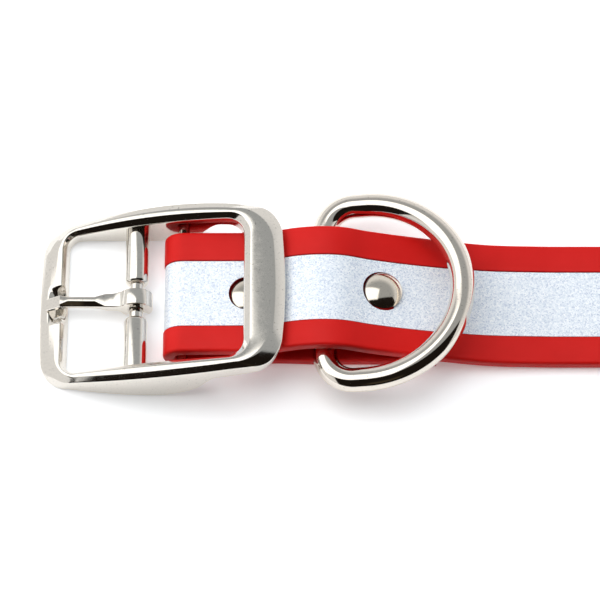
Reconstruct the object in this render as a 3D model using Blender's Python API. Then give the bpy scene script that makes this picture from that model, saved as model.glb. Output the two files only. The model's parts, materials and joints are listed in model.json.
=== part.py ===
"""Flat dog collar: a coated one-inch strap with a reflective stripe, folded round the strap bar
of a two-bar tongue buckle, with a riveted-in D ring.

Frame: X runs along the strap towards its free end, Y across it, Z up. The origin is in the
middle of the strap's resting face, just past the hardware, where the strap starts to lie flat.
Sizes are in millimetres and are multiplied by MM where a mesh is made.
"""
import math

import bmesh
import bpy
from mathutils import Matrix, Vector

MM = 0.001
GAP = 0.3

# Strap: polyester core, coating all round, reflective stripe let into the outer face.
STRAP_WIDTH = 26.0
STRAP_THICK = 2.5
STRAP_EDGE = 0.7
STRIPE_WIDTH = 14.0
STRIPE_THICK = 0.22
STRIPE_SUNK = 0.03
LAYER_GAP = 0.2
COATING = 0.4
CORE_EDGE = 0.7
HOLLOW_OVERRUN = 1.0

# Where the strap folds, runs and ends.
STRAP_BAR_X = -79.2
STRAP_BAR_RADIUS = 1.1
FOLD_RADIUS = STRAP_BAR_RADIUS + GAP + STRAP_THICK / 2
STRAP_BAR_Z = STRAP_THICK + GAP + STRAP_BAR_RADIUS
TAIL_END_X = -29.0
FLAT_FROM_X = -6.0
FLEX_X = 8.0
FREE_END_X = 292.0
POINT_LENGTH = 14.0
STRAP_SHIFT = 0.45
SHIFT_FADE = (-36.0, -14.0)
SHIFTED_BEYOND = STRIPE_WIDTH / 2 + 1

# The strap's middle line where it isn't straight: (x, height above the resting face).
TAIL_LINE = [(TAIL_END_X, 1.25), (-40.0, 1.7), (-51.5, 1.72), (-60.0, 2.2), (-68.0, 1.9), (-74.0, 1.4)]
TOP_LINE = [(-73.0, 6.55), (-67.0, 6.62), (-62.5, 7.0), (-59.0, 8.2), (-55.5, 9.25), (-51.5, 9.7),
            (-47.5, 9.25), (-43.0, 7.5), (-38.0, 5.9), (-32.0, 4.3), (-25.0, 2.85), (-17.0, 1.75)]
FOLD_STEPS = 10

# Punched adjustment holes.
HOLE_COUNT = 5
HOLE_SPACING = 25.4
HOLE_TO_TIP = 45.0
HOLE_RADIUS = 2.0

# Buckle frame, as six loops round the opening. Each is (left, right, half width, bow of the sides,
# left corner radius, right corner radius, bow of the left end, bow of the right end).
INNER_LIP = (-102.5, -67.1, 15.05, 0.0005, 2.6, 3.6, 0.0, 0.0)
INNER_CREST = (-103.6, -65.7, 16.2, 0.0017, 3.4, 4.6, 0.0, 0.0)
OUTER_CREST = (-104.9, -61.0, 17.4, 0.0032, 4.8, 7.6, 0.0020, 0.0042)
OUTER_LIP = (-106.3, -58.8, 18.75, 0.0040, 5.4, 6.0, 0.0025, 0.0042)
OUTER_FOOT = (-108.2, -59.0, 18.95, 0.0040, 5.8, 6.0, 0.0025, 0.0042)
END_BOW_TO = 15.0
BEVEL_RISE = 1.1
OUTER_DROP = 0.62
RIGHT_DROP = 1.25
DROP_STEP = (-70.0, -62.0)
LIP_X = -83.5
LIP_Z = 8.4
LIP_SLOPE = 0.25
LIP_BEND = 0.00535
LEFT_BAR_LIP_Z = 0.95
CREST_Z = LEFT_BAR_LIP_Z + BEVEL_RISE
SKIRT_BEND = 0.033
SKIRT_FLAT_TO = -86.0
SKIRT_STEP = (-76.4, -71.6)
RAIL_FOOT_Z = 7.75
RAIL_FOOT_BEND = 0.0128
CORNER_STEPS = 5
SIDE_STEPS = 18
END_STEPS = 6

# Tongue bar, cast in one piece with the frame, with a waist for the tongue.
TONGUE_BAR_X = -88.6
TONGUE_BAR_Z = 3.3
TONGUE_BAR_RADIUS = 2.4
WAIST_RADIUS = 1.4
WAIST_HALF = 3.7
BAR_HALF = 15.6
NOTCH_HALF = 3.4
NOTCH_FLOOR_HALF = 3.1
NOTCH_FLOOR_Z = 0.9

# Tongue: hook open underneath, block, shank and a tip bent down into the notch.
HOOK_INNER = WAIST_RADIUS + GAP
HOOK_OUTER = 3.35
HOOK_HALF = 1.7
HOOK_ARC = (-38.0, 228.0)
HOOK_STEPS = 18
# Along the tongue, from its pin: reach, bottom, top, half width, and the (width, drop) of the
# facets along its near and far upper edges.
TONGUE_STATIONS = [(2.2, -0.95, 2.35, 1.66, (0.15, 0.15), (0.15, 0.15)),
                   (3.0, -0.95, 1.75, 1.65, (0.15, 0.15), (0.15, 0.15)),
                   (4.5, -0.85, 1.18, 1.54, (0.18, 0.18), (0.18, 0.18)),
                   (6.2, -0.80, 1.15, 1.48, (0.18, 0.18), (0.18, 0.18)),
                   (8.2, -0.65, 1.12, 1.08, (0.85, 0.88), (0.45, 0.50)),
                   (13.6, -0.60, 1.10, 1.05, (0.85, 0.88), (0.45, 0.50)),
                   (15.0, -0.70, 0.92, 1.22, (0.35, 0.50), (0.15, 0.20)),
                   (18.1, -1.75, -0.78, 1.25, (0.30, 0.45), (0.15, 0.20))]

# D ring: round wire, straight bar, two small corners and one large arc.
RING_WIRE = 4.85
RING_BAR_X = -51.1
RING_BAR_Y = 0.6
RING_BAR_Z = 5.75
RING_HALF = 19.0
RING_CORNER = 6.0
RING_ARC_FROM = 8.2
RING_LENGTH = 27.6
RING_TILT = 10.0
RING_BAR_STRAIGHT = 7.0
RING_CORNER_STEPS = 6
RING_ARC_STEPS = 22
WIRE_SIDES = 12

# Rivets: a domed cap with its post, and a flat back with a socket, set square or at a lean.
# Each is (name, middle of the cap's seat, lean, cap radius, dome, height of the back's seat).
RIVETS = [("rivet_1", (-66.5, 0.0, 6.95), -5.0, 3.25, 0.75, 1.05),
          ("rivet_2", (-39.6, 0.5, 7.35), 9.0, 3.85, 1.35, 0.95)]
CAP_RIM = 0.35
POST_RADIUS = 1.2
SOCKET_RADIUS = 1.95
SOCKET_LENGTH = 2.0
BACK_RADIUS = 3.2
BACK_THICK = 0.4
RIVET_STEPS = 24


def smooth_curve(points, step):
    """Points about `step` apart on a smooth curve through the given (x, z) points."""
    first = tuple(2 * a - b for a, b in zip(points[0], points[1]))
    last = tuple(2 * a - b for a, b in zip(points[-1], points[-2]))
    padded = [first] + list(points) + [last]
    curve = [points[0]]
    for before, start, end, after in zip(padded, padded[1:], padded[2:], padded[3:]):
        pieces = max(1, round(math.dist(start, end) / step))
        for i in range(1, pieces + 1):
            t = i / pieces
            point = []
            for a, b, c, d in zip(before, start, end, after):
                cubic = t * (3 * (b - c) + d - a)
                point.append(b + 0.5 * t * (c - a + t * (2 * a - 5 * b + 4 * c - d + cubic)))
            curve.append(tuple(point))
    return curve


def smooth_step(value, low, high):
    t = min(1.0, max(0.0, (value - low) / (high - low)))
    return t * t * (3 - 2 * t)


def new_object(name, mesh_builder, material, smooth_angle=35.0):
    """One object from a bmesh, with its faces turned out and its round faces shaded smooth."""
    bmesh.ops.recalc_face_normals(mesh_builder, faces=mesh_builder.faces)
    if mesh_builder.calc_volume(signed=True) < 0:
        bmesh.ops.reverse_faces(mesh_builder, faces=mesh_builder.faces)
    mesh = bpy.data.meshes.new(name)
    mesh_builder.to_mesh(mesh)
    mesh_builder.free()
    mesh.materials.append(material)
    mesh.shade_smooth()
    mesh.set_sharp_from_angle(angle=math.radians(smooth_angle))
    item = bpy.data.objects.new(name, mesh)
    bpy.context.scene.collection.objects.link(item)
    return item


def skin(name, sections, material, ring=False, smooth_angle=35.0):
    """A closed body over a row of equal sections; a ring joins its last section to its first."""
    builder = bmesh.new()
    rows = []
    for section in sections:
        rows.append([builder.verts.new(Vector(point) * MM) for point in section])
    pairs = list(zip(rows, rows[1:]))
    if ring:
        pairs.append((rows[-1], rows[0]))
    for row, following in pairs:
        for i in range(len(row)):
            j = (i + 1) % len(row)
            builder.faces.new((row[i], row[j], following[j], following[i]))
    if not ring:
        builder.faces.new(rows[0])
        builder.faces.new(rows[-1])
    return new_object(name, builder, material, smooth_angle)


def lathe(name, profile, material, steps=RIVET_STEPS, smooth_angle=35.0):
    """A closed turned body about local Z; the profile runs (radius, z) from axis to axis."""
    builder = bmesh.new()
    rings = []
    for radius, z in profile:
        if radius == 0:
            rings.append([builder.verts.new((0, 0, z * MM))])
            continue
        ring = []
        for i in range(steps):
            angle = 2 * math.pi * i / steps
            place = Vector((radius * math.cos(angle), radius * math.sin(angle), z))
            ring.append(builder.verts.new(place * MM))
        rings.append(ring)
    for lower, upper in zip(rings, rings[1:]):
        for i in range(steps):
            j = (i + 1) % steps
            corners = [lower[i % len(lower)], lower[j % len(lower)], upper[j % len(upper)],
                       upper[i % len(upper)]]
            builder.faces.new(list(dict.fromkeys(corners)))
    return new_object(name, builder, material, smooth_angle)


def combine(target, tool, operation):
    """Join a helper to an object, or cut it away; the helper itself isn't part of the collar."""
    modifier = target.modifiers.new(tool.name, "BOOLEAN")
    modifier.operation = operation
    modifier.object = tool
    modifier.solver = "EXACT"
    tool.hide_render = True
    tool.display_type = "WIRE"


def principled(name, color, roughness, metallic):
    material = bpy.data.materials.new(name)
    material.use_nodes = True
    shader = material.node_tree.nodes["Principled BSDF"]
    shader.inputs["Base Color"].default_value = (*color, 1.0)
    shader.inputs["Roughness"].default_value = roughness
    shader.inputs["Metallic"].default_value = metallic
    return material


# ---- strap -------------------------------------------------------------------------------------

def strap_line():
    """The strap's middle line from the tail's cut end, round the strap bar, to the flexing place."""
    fold = []
    for i in range(FOLD_STEPS + 1):
        angle = math.radians(-90 - 180 * i / FOLD_STEPS)
        along, up = FOLD_RADIUS * math.cos(angle), FOLD_RADIUS * math.sin(angle)
        fold.append((STRAP_BAR_X + along, STRAP_BAR_Z + up))
    tail = smooth_curve(TAIL_LINE + [fold[0]], 2.6)
    top = smooth_curve([fold[-1]] + TOP_LINE + [(FLAT_FROM_X, STRAP_THICK / 2)], 2.2)
    return tail + fold[1:-1] + top + [(FLEX_X - GAP / 2, STRAP_THICK / 2)]


def line_frames(line):
    """Each point of a line in the XZ plane with the outward direction of the strap's outer face."""
    frames = []
    for i, point in enumerate(line):
        before = Vector(line[max(i - 1, 0)])
        after = Vector(line[min(i + 1, len(line) - 1)])
        along = (after - before).normalized()
        frames.append((Vector(point), Vector((-along.y, along.x))))
    return frames


def side_shift(x):
    """How far the strap lies over to the far side where it is folded and riveted."""
    return STRAP_SHIFT * (1 - smooth_step(x, *SHIFT_FADE))


def sweep(name, line, outline, material, overrun=0.0):
    """Carry an outline of (y, height over the middle line) along a line in the XZ plane.

    Points well beyond the stripe move over with the strap. The stripe and its bed keep to the middle.
    """
    line = list(line)
    if overrun:
        start, end = Vector(line[0]), Vector(line[-1])
        line[0] = tuple(start + (start - Vector(line[1])).normalized() * overrun)
        line[-1] = tuple(end + (end - Vector(line[-2])).normalized() * overrun)
    sections = []
    for point, out in line_frames(line):
        shift = side_shift(point.x)
        section = []
        for y, height in outline:
            over = shift if abs(y) > SHIFTED_BEYOND else 0
            section.append((point.x + out.x * height, y + over, point.y + out.y * height))
        sections.append(section)
    return skin(name, sections, material)


def rectangle(half_width, low, high):
    return [(-half_width, low), (half_width, low), (half_width, high), (-half_width, high)]


def coating_outline():
    """Rounded strap section with the shallow bed of the stripe in its outer face."""
    half, rise = STRAP_WIDTH / 2, STRAP_THICK / 2
    edge, bend = STRAP_EDGE, STRAP_EDGE * 0.3
    bed = STRIPE_WIDTH / 2 + LAYER_GAP
    floor = rise - STRIPE_SUNK - STRIPE_THICK - LAYER_GAP
    right = [(half - edge, -rise), (half - bend, -rise + bend), (half, -rise + edge), (half, rise - edge),
             (half - bend, rise - bend), (half - edge, rise), (bed, rise), (bed, floor)]
    left = [(-y, z) for y, z in reversed(right)]
    return right + left


def core_heights():
    """Heights of the hollow for the core, and of the core itself, over the middle line."""
    rise = STRAP_THICK / 2
    ceiling = rise - STRIPE_SUNK - STRIPE_THICK - LAYER_GAP - COATING
    return (-rise + COATING, ceiling), (-rise + COATING + LAYER_GAP, ceiling - LAYER_GAP)


def make_strap(prefix, line, materials):
    """Coating, core and stripe of one length of the strap."""
    hollow, core = core_heights()
    hollow_half = STRAP_WIDTH / 2 - CORE_EDGE
    rise = STRAP_THICK / 2
    coating = sweep(prefix + "_coating", line, coating_outline(), materials["coating"])
    hollow_outline = rectangle(hollow_half, *hollow)
    hollow_tool = sweep(prefix + "_hollow_tool", line, hollow_outline, materials["coating"], HOLLOW_OVERRUN)
    combine(coating, hollow_tool, "DIFFERENCE")
    webbing = sweep(prefix + "_core", line, rectangle(hollow_half - LAYER_GAP, *core), materials["core"])
    top = rise - STRIPE_SUNK
    stripe_outline = rectangle(STRIPE_WIDTH / 2, top - STRIPE_THICK, top)
    stripe = sweep(prefix + "_stripe", line, stripe_outline, materials["stripe"])
    return coating, webbing, stripe


def punch_holes(layers, material):
    """One row of round holes for the tongue through every layer of the free end."""
    low, high = -1, STRAP_THICK + 1
    profile = [(0, low), (HOLE_RADIUS, low), (HOLE_RADIUS, high), (0, high)]
    for i in range(HOLE_COUNT):
        punch = lathe(f"punch_{i + 1}", profile, material, steps=16)
        punch.location.x = (FREE_END_X - HOLE_TO_TIP - i * HOLE_SPACING) * MM
        for layer in layers:
            combine(layer, punch, "DIFFERENCE")


def trim_to_point(layers, material):
    """Round the free end: everything outside a half-ellipse is cut off."""
    half = STRAP_WIDTH / 2
    start = FREE_END_X - POINT_LENGTH
    steps = 14
    outline = []
    for i in range(steps + 1):
        angle = math.radians(-90 + 180 * i / steps)
        outline.append((start + POINT_LENGTH * math.cos(angle), half * math.sin(angle)))
    beyond = FREE_END_X + 4
    outline += [(start, half + 2), (beyond, half + 2), (beyond, -half - 2), (start, -half - 2)]
    sections = [[(x, y, z) for x, y in outline] for z in (-1, STRAP_THICK + 1)]
    trimmer = skin("point_tool", sections, material)
    for layer in layers:
        combine(layer, trimmer, "DIFFERENCE")


# ---- buckle ------------------------------------------------------------------------------------

def inner_lip_height(x):
    """The arched edge of the opening, held up over the left bar."""
    arch = LIP_Z + LIP_SLOPE * (x - LIP_X) - LIP_BEND * (x - LIP_X) ** 2
    return 0.5 * (arch + LEFT_BAR_LIP_Z + math.hypot(arch - LEFT_BAR_LIP_Z, 0.8))


def crest_height(x):
    return inner_lip_height(x) + BEVEL_RISE


def outer_lip_height(x):
    """The lower edge of the outer bevel, which is steeper on the right bar."""
    drop = OUTER_DROP + (RIGHT_DROP - OUTER_DROP) * smooth_step(x, *DROP_STEP)
    return crest_height(x) - drop


def foot_height(x):
    """The lower edge of the frame: deep skirts at the bars, then a step up to the open right end."""
    skirt = SKIRT_BEND * max(0.0, x - SKIRT_FLAT_TO) ** 2
    rail = RAIL_FOOT_Z + RAIL_FOOT_BEND * (x - SKIRT_STEP[1]) ** 2
    blend = smooth_step(x, *SKIRT_STEP)
    return (1 - blend) * skirt + blend * rail


def frame_loop(shape, height):
    """One closed loop round the buckle: right bar, far side, left bar, near side."""
    left, right, half, bow, left_corner, right_corner, left_bow, right_bow = shape
    middle = (left + right) / 2

    def side(x):
        return half - bow * (x - middle) ** 2

    def bent(x, y):
        end_bow = left_bow if x < middle else -right_bow
        share = ((x - middle) / (right - middle)) ** 4
        return x + share * end_bow * min(abs(y), END_BOW_TO) ** 2

    def corner(x, y, radius, start):
        arc = []
        for i in range(CORNER_STEPS + 1):
            angle = math.radians(start + 90 * i / CORNER_STEPS)
            arc.append((x + radius * math.cos(angle), y + radius * math.sin(angle)))
        return arc

    right_x, left_x = right - right_corner, left + left_corner
    right_y, left_y = side(right_x) - right_corner, side(left_x) - left_corner
    flat = corner(right_x, right_y, right_corner, 0)
    for i in range(1, SIDE_STEPS):
        x = right_x + (left_x - right_x) * i / SIDE_STEPS
        flat.append((x, side(x)))
    flat += corner(left_x, left_y, left_corner, 90)
    for i in range(1, END_STEPS):
        flat.append((left, left_y - 2 * left_y * i / END_STEPS))
    flat += corner(left_x, -left_y, left_corner, 180)
    for i in range(1, SIDE_STEPS):
        x = left_x + (right_x - left_x) * i / SIDE_STEPS
        flat.append((x, -side(x)))
    flat += corner(right_x, -right_y, right_corner, 270)
    for i in range(1, END_STEPS):
        flat.append((right, -right_y + 2 * right_y * i / END_STEPS))
    return [(bent(x, y), y, height(bent(x, y))) for x, y in flat]


def cross_bar(name, x, z, profile, material):
    """A turned bar across the frame, its axis along Y."""
    bar = lathe(name, profile, material, steps=20)
    bar.rotation_euler.x = math.radians(-90)
    bar.location = (x * MM, 0, z * MM)
    return bar


def make_buckle(material):
    loops = [frame_loop(INNER_LIP, foot_height), frame_loop(INNER_LIP, inner_lip_height),
             frame_loop(INNER_CREST, crest_height), frame_loop(OUTER_CREST, crest_height),
             frame_loop(OUTER_LIP, outer_lip_height), frame_loop(OUTER_FOOT, foot_height)]
    sections = [[loop[i] for loop in loops] for i in range(len(loops[0]))]
    frame = skin("buckle_frame", sections, material, ring=True, smooth_angle=28.0)
    shoulder = TONGUE_BAR_RADIUS
    half_profile = [(WAIST_RADIUS, WAIST_HALF), (shoulder - 0.5, WAIST_HALF + 0.15),
                    (shoulder - 0.15, WAIST_HALF + 0.5), (shoulder, WAIST_HALF + 1.0), (shoulder, BAR_HALF)]
    mirrored = [(r, -y) for r, y in reversed(half_profile)]
    profile = [(0, -BAR_HALF)] + mirrored + half_profile + [(0, BAR_HALF)]
    tongue_bar = cross_bar("tongue_bar_tool", TONGUE_BAR_X, TONGUE_BAR_Z, profile, material)
    combine(frame, tongue_bar, "UNION")
    radius = STRAP_BAR_RADIUS
    profile = [(0, -BAR_HALF), (radius, -BAR_HALF), (radius, BAR_HALF), (0, BAR_HALF)]
    strap_bar = cross_bar("strap_bar_tool", STRAP_BAR_X, STRAP_BAR_Z, profile, material)
    combine(frame, strap_bar, "UNION")
    combine(frame, notch_tool(material), "DIFFERENCE")


def notch_tool(material):
    """What is cut out of the left bar for the tongue's tip to lie in."""
    top = LIP_Z
    sections = []
    for x in (OUTER_FOOT[0] - 2, INNER_LIP[0] + 1):
        sections.append([(x, -NOTCH_FLOOR_HALF, NOTCH_FLOOR_Z), (x, NOTCH_FLOOR_HALF, NOTCH_FLOOR_Z),
                         (x, NOTCH_HALF, CREST_Z), (x, NOTCH_HALF, top), (x, -NOTCH_HALF, top),
                         (x, -NOTCH_HALF, CREST_Z)])
    return skin("notch_tool", sections, material)


def make_tongue(material):
    """The tongue, its origin on the bar's axis."""
    start, end = HOOK_ARC
    sections = []
    for i in range(HOOK_STEPS + 1):
        angle = math.radians(start + (end - start) * i / HOOK_STEPS)
        section = []
        for radius, y in [(HOOK_INNER, -HOOK_HALF), (HOOK_OUTER, -HOOK_HALF), (HOOK_OUTER, HOOK_HALF),
                          (HOOK_INNER, HOOK_HALF)]:
            section.append((radius * math.cos(angle), y, radius * math.sin(angle)))
        sections.append(section)
    tongue = skin("tongue", sections, material)
    sections = []
    for reach, bottom, top, half, near, far in TONGUE_STATIONS:
        outline = [(-half, bottom), (half, bottom), (half, top - far[1]), (half - far[0], top),
                   (near[0] - half, top), (-half, top - near[1])]
        sections.append([(-reach, y, z) for y, z in outline])
    shank = skin("shank_tool", sections, material)
    place = (TONGUE_BAR_X * MM, 0, TONGUE_BAR_Z * MM)
    shank.location = place
    tongue.location = place
    combine(tongue, shank, "UNION")


# ---- D ring ------------------------------------------------------------------------------------

def ring_line():
    """Middle line of the wire in its own plane: (distance from the bar, across)."""
    line = [(0.0, y) for y in (-RING_BAR_STRAIGHT, 0.0, RING_BAR_STRAIGHT)]
    corner_y = RING_HALF - RING_CORNER
    reach = RING_LENGTH - RING_ARC_FROM

    def arc(center, radii, start, end, steps):
        for i in range(steps + 1):
            angle = math.radians(start + (end - start) * i / steps)
            line.append((center[0] + radii[0] * math.cos(angle), center[1] + radii[1] * math.sin(angle)))

    arc((RING_CORNER, corner_y), (RING_CORNER, RING_CORNER), 180, 90, RING_CORNER_STEPS)
    arc((RING_ARC_FROM, 0), (reach, RING_HALF), 90, -90, RING_ARC_STEPS)
    arc((RING_CORNER, -corner_y), (RING_CORNER, RING_CORNER), -90, -180, RING_CORNER_STEPS)
    return line


def make_ring(material):
    """The D ring, its origin on its bar's axis, leaning up from the strap."""
    line = ring_line()
    sections = []
    for i, point in enumerate(line):
        along = (Vector(line[(i + 1) % len(line)]) - Vector(line[i - 1])).normalized()
        section = []
        for j in range(WIRE_SIDES):
            angle = 2 * math.pi * j / WIRE_SIDES
            out = math.cos(angle) * RING_WIRE / 2
            up = math.sin(angle) * RING_WIRE / 2
            section.append((point[0] + along.y * out, point[1] - along.x * out, up))
        sections.append(section)
    ring = skin("d_ring", sections, material, ring=True, smooth_angle=60.0)
    ring.location = (RING_BAR_X * MM, RING_BAR_Y * MM, RING_BAR_Z * MM)
    ring.rotation_euler.y = math.radians(-RING_TILT)


# ---- rivets ------------------------------------------------------------------------------------

def dome_arc(radius, rise):
    """The round top of a cap, from its rim towards its axis."""
    sphere = (radius ** 2 + rise ** 2) / (2 * rise)
    steps = 5
    arc = []
    for i in range(steps):
        angle = math.asin(radius / sphere) * (1 - i / steps)
        height = CAP_RIM + rise - sphere * (1 - math.cos(angle))
        arc.append((sphere * math.sin(angle), height))
    return arc


def make_rivet(name, seat, lean, cap_radius, dome, back_seat, strap_layers, material):
    """Cap with post, back with socket, and the hole and two seats for them in the strap."""
    depth = seat[2] - back_seat
    place = Matrix.Translation(Vector(seat) * MM) @ Matrix.Rotation(math.radians(lean), 4, "Y")
    post_end = -depth + BACK_THICK + GAP
    crown = dome_arc(cap_radius, dome)
    cap_profile = [(0, post_end), (POST_RADIUS, post_end), (POST_RADIUS, 0), (cap_radius, 0)] + crown
    cap = lathe(name + "_cap", cap_profile + [(0, CAP_RIM + dome)], material)
    socket_top = -depth + SOCKET_LENGTH
    back_top = -depth + BACK_THICK
    bore = POST_RADIUS + GAP
    back_profile = [(0, -depth), (BACK_RADIUS, -depth), (BACK_RADIUS, -depth + BACK_THICK * 0.6),
                    (BACK_RADIUS - GAP, back_top), (SOCKET_RADIUS, back_top), (SOCKET_RADIUS, socket_top),
                    (bore, socket_top), (bore, back_top), (0, back_top)]
    back = lathe(name + "_back", back_profile, material)
    room = SOCKET_RADIUS + GAP
    cap_room, back_room = cap_radius + GAP, BACK_RADIUS + GAP
    tool_profile = [(0, -depth - 3), (back_room, -depth - 3), (back_room, back_top + GAP),
                    (room, back_top + GAP), (room, -GAP), (cap_room, -GAP), (cap_room, dome + 3),
                    (0, dome + 3)]
    tool = lathe(name + "_hole_tool", tool_profile, material)
    for item in (cap, back, tool):
        item.matrix_world = place
    for layer in strap_layers:
        combine(layer, tool, "DIFFERENCE")


def main():
    for item in list(bpy.data.objects):
        bpy.data.objects.remove(item)
    nickel = principled("nickel", (0.66, 0.64, 0.60), 0.12, 1.0)
    rivet_steel = principled("rivet_steel", (0.55, 0.52, 0.46), 0.2, 1.0)
    layers = {"coating": principled("red_coating", (0.66, 0.015, 0.015), 0.42, 0.0),
              "core": principled("webbing", (0.35, 0.03, 0.03), 0.9, 0.0),
              "stripe": principled("reflective", (0.62, 0.66, 0.72), 0.45, 0.0)}
    buckle_end = make_strap("strap", strap_line(), layers)
    straight = [(x, STRAP_THICK / 2) for x in (FLEX_X + GAP / 2, (FLEX_X + FREE_END_X) / 2, FREE_END_X)]
    free_end = make_strap("free_strap", straight, layers)
    trim_to_point(free_end, layers["coating"])
    punch_holes(free_end, layers["coating"])
    make_buckle(nickel)
    make_tongue(nickel)
    make_ring(nickel)
    for rivet in RIVETS:
        make_rivet(*rivet, buckle_end, rivet_steel)


main()
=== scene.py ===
"""Looks for the flat dog collar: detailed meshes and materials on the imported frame.

Shapes are worked out in millimetres, in the frame's own axes, and multiplied by MM in a mesh.
"""
import json
import math
import bmesh
import bpy
import numpy as np
from mathutils import Matrix, Vector


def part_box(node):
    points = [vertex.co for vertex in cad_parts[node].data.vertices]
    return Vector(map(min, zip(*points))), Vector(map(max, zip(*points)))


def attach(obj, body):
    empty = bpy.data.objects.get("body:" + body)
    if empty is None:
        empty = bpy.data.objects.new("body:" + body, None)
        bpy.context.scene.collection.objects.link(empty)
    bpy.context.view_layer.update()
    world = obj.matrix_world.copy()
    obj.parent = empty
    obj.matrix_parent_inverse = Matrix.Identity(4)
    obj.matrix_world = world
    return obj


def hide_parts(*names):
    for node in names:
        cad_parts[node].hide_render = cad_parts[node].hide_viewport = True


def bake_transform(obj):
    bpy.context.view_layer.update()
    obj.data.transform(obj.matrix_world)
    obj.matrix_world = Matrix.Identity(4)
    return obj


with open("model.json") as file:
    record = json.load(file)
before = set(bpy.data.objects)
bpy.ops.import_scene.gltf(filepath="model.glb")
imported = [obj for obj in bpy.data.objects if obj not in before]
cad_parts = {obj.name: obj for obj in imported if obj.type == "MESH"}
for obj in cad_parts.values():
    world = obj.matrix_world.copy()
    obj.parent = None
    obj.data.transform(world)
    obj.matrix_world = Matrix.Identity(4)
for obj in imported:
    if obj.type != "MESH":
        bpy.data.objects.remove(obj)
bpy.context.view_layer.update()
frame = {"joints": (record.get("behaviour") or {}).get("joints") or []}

MM = 0.001
JOINTS = {joint["name"]: joint for joint in frame["joints"]}


def joint_place(name):
    """A hinge's point, in millimetres."""
    return Vector(JOINTS[name]["pos_m"]) / MM


def node_box(name):
    """A node's lowest and highest corner, in millimetres."""
    low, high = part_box(name)
    return Vector(low) / MM, Vector(high) / MM


# ---- driving sizes -----------------------------------------------------------------------------

# The strap's section: a coating with a hollow for the core, and a bed on top for the stripe.
FREE_LOW, FREE_HIGH = node_box("free_strap_coating")
STRIPE_LOW, STRIPE_HIGH = node_box("free_strap_stripe")
STRAP_WIDTH = FREE_HIGH.y - FREE_LOW.y
STRAP_THICK = FREE_HIGH.z - FREE_LOW.z
RISE = STRAP_THICK / 2
STRIPE_WIDTH = STRIPE_HIGH.y - STRIPE_LOW.y
STRIPE_SUNK = 0.16
STRIPE_THICK = 0.16
STRIPE_GROOVE = 0.12
SHOULDER = 0.22
BED_CORNER = 0.02
LAYER_GAP = 0.2
COATING = 0.4
COATING_UNDER_STRIPE = 0.34
CORE_EDGE = 0.7
EDGE_RADIUS = 0.75
EDGE_STEPS = 5
STRAP_SMOOTH = 40.0

# The strap's middle line in the XZ plane, from the tail under the fold to the free tip. The tail
# and the top run smoothly through the listed (x, z) points.
BAR_GAP = 0.3
STRAP_BAR = joint_place("buckle_swing")
STRAP_BAR_RADIUS = 1.1
FOLD_RADIUS = STRAP_BAR_RADIUS + BAR_GAP + RISE
FOLD_STEPS = 28
TAIL_STEP = 0.8
TOP_STEP = 0.6
STRAIGHT_STEP = 2.0
FREE_END_X = FREE_HIGH.x
FLEX_X = joint_place("strap_flex").x
FLAT_FROM_X = FLEX_X - 14.0
TAIL_LINE = [(-29.0, 1.25), (-40.0, 1.7), (-51.5, 1.72), (-60.0, 2.2), (-68.0, 1.9), (-74.0, 1.4)]
TOP_LINE = [(-73.0, 6.55), (-67.0, 6.62), (-62.5, 7.0), (-59.0, 8.2), (-55.5, 9.25), (-51.5, 9.7),
            (-47.5, 9.25), (-43.0, 7.5), (-38.0, 5.9), (-32.0, 4.3), (-25.0, 2.85), (-17.0, 1.75)]

# The folded part lies over to the far side and comes back to the middle between two places along
# the strap. Only what lies further out than SHIFT_FROM moves over.
STRAP_SHIFT = 0.45
SHIFT_FADE = (-36.0, -14.0)
SHIFT_FROM = STRIPE_WIDTH / 2 + 1.0

# The free end: a round tip and a row of holes.
POINT_LENGTH = 14.0
HOLE_COUNT = 5
HOLE_SPACING = 25.4
HOLE_TO_TIP = 45.0
HOLE_RADIUS = 2.0
HOLE_FLARE = 0.05
HOLE_SIDES = 40
CUT_OVERRUN = 1.0

# Buckle loops: (left, right, half width, bow of the sides, left corner, right corner, bow of the
# left end, bow of the right end).
INNER_FOOT = (-102.2, -67.1, 15.05, 0.0005, 2.6, 3.6, 0.0, 0.0)
INNER_LIP = (-102.8, -67.1, 15.05, 0.0005, 2.6, 3.6, 0.0, 0.0)
INNER_CREST = (-103.7, -65.7, 16.2, 0.0017, 3.4, 4.6, 0.0, 0.0)
OUTER_CREST = (-104.9, -61.0, 17.4, 0.0032, 4.8, 7.6, 0.0020, 0.0042)
OUTER_LIP = (-106.3, -58.8, 18.75, 0.0040, 5.4, 6.0, 0.0025, 0.0042)
OUTER_FOOT = (-108.2, -59.0, 18.95, 0.0040, 5.8, 6.0, 0.0025, 0.0042)
END_BOW_TO = 15.0
END_BOW_POWER = 4
CORNER_STEPS = 12
SIDE_STEPS = 56
END_STEPS = 90

# The casting's section: six rounded edges, and a crest domed by a share of its width.
EDGE_CUTS = (0.5, 0.35, 0.3, 0.3, 0.35, 0.5)
CASTING_EDGE_STEPS = 4
CASTING_SMOOTH = 50.0
CROWN_STEPS = 6
CROWN_SHARE = 0.02

# The inner lip's arch over x, and the height that it keeps over the left bar.
LIP_X = -83.5
LIP_Z = 8.4
LIP_SLOPE = 0.25
LIP_BEND = 0.00535
LEFT_BAR_LIP_Z = 0.95
LIP_BLEND = 0.8

# The crest stands over the inner lip. The outer lip lies below the crest, further on the right bar.
BEVEL_RISE = 1.1
OUTER_DROP = 0.62
RIGHT_DROP = 1.25
DROP_STEP = (-70.0, -62.0)
LEFT_CREST_LEAN = 0.2
CREST_LEAN_FADE = 3.0

# The lower edge: skirts that curve up from the table, and a step up to the rails' feet.
SKIRT_BEND = 0.033
SKIRT_FLAT_TO = -86.0
SKIRT_STEP = (-76.4, -71.6)
RAIL_FOOT_Z = 7.75
RAIL_FOOT_BEND = 0.0128

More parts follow.
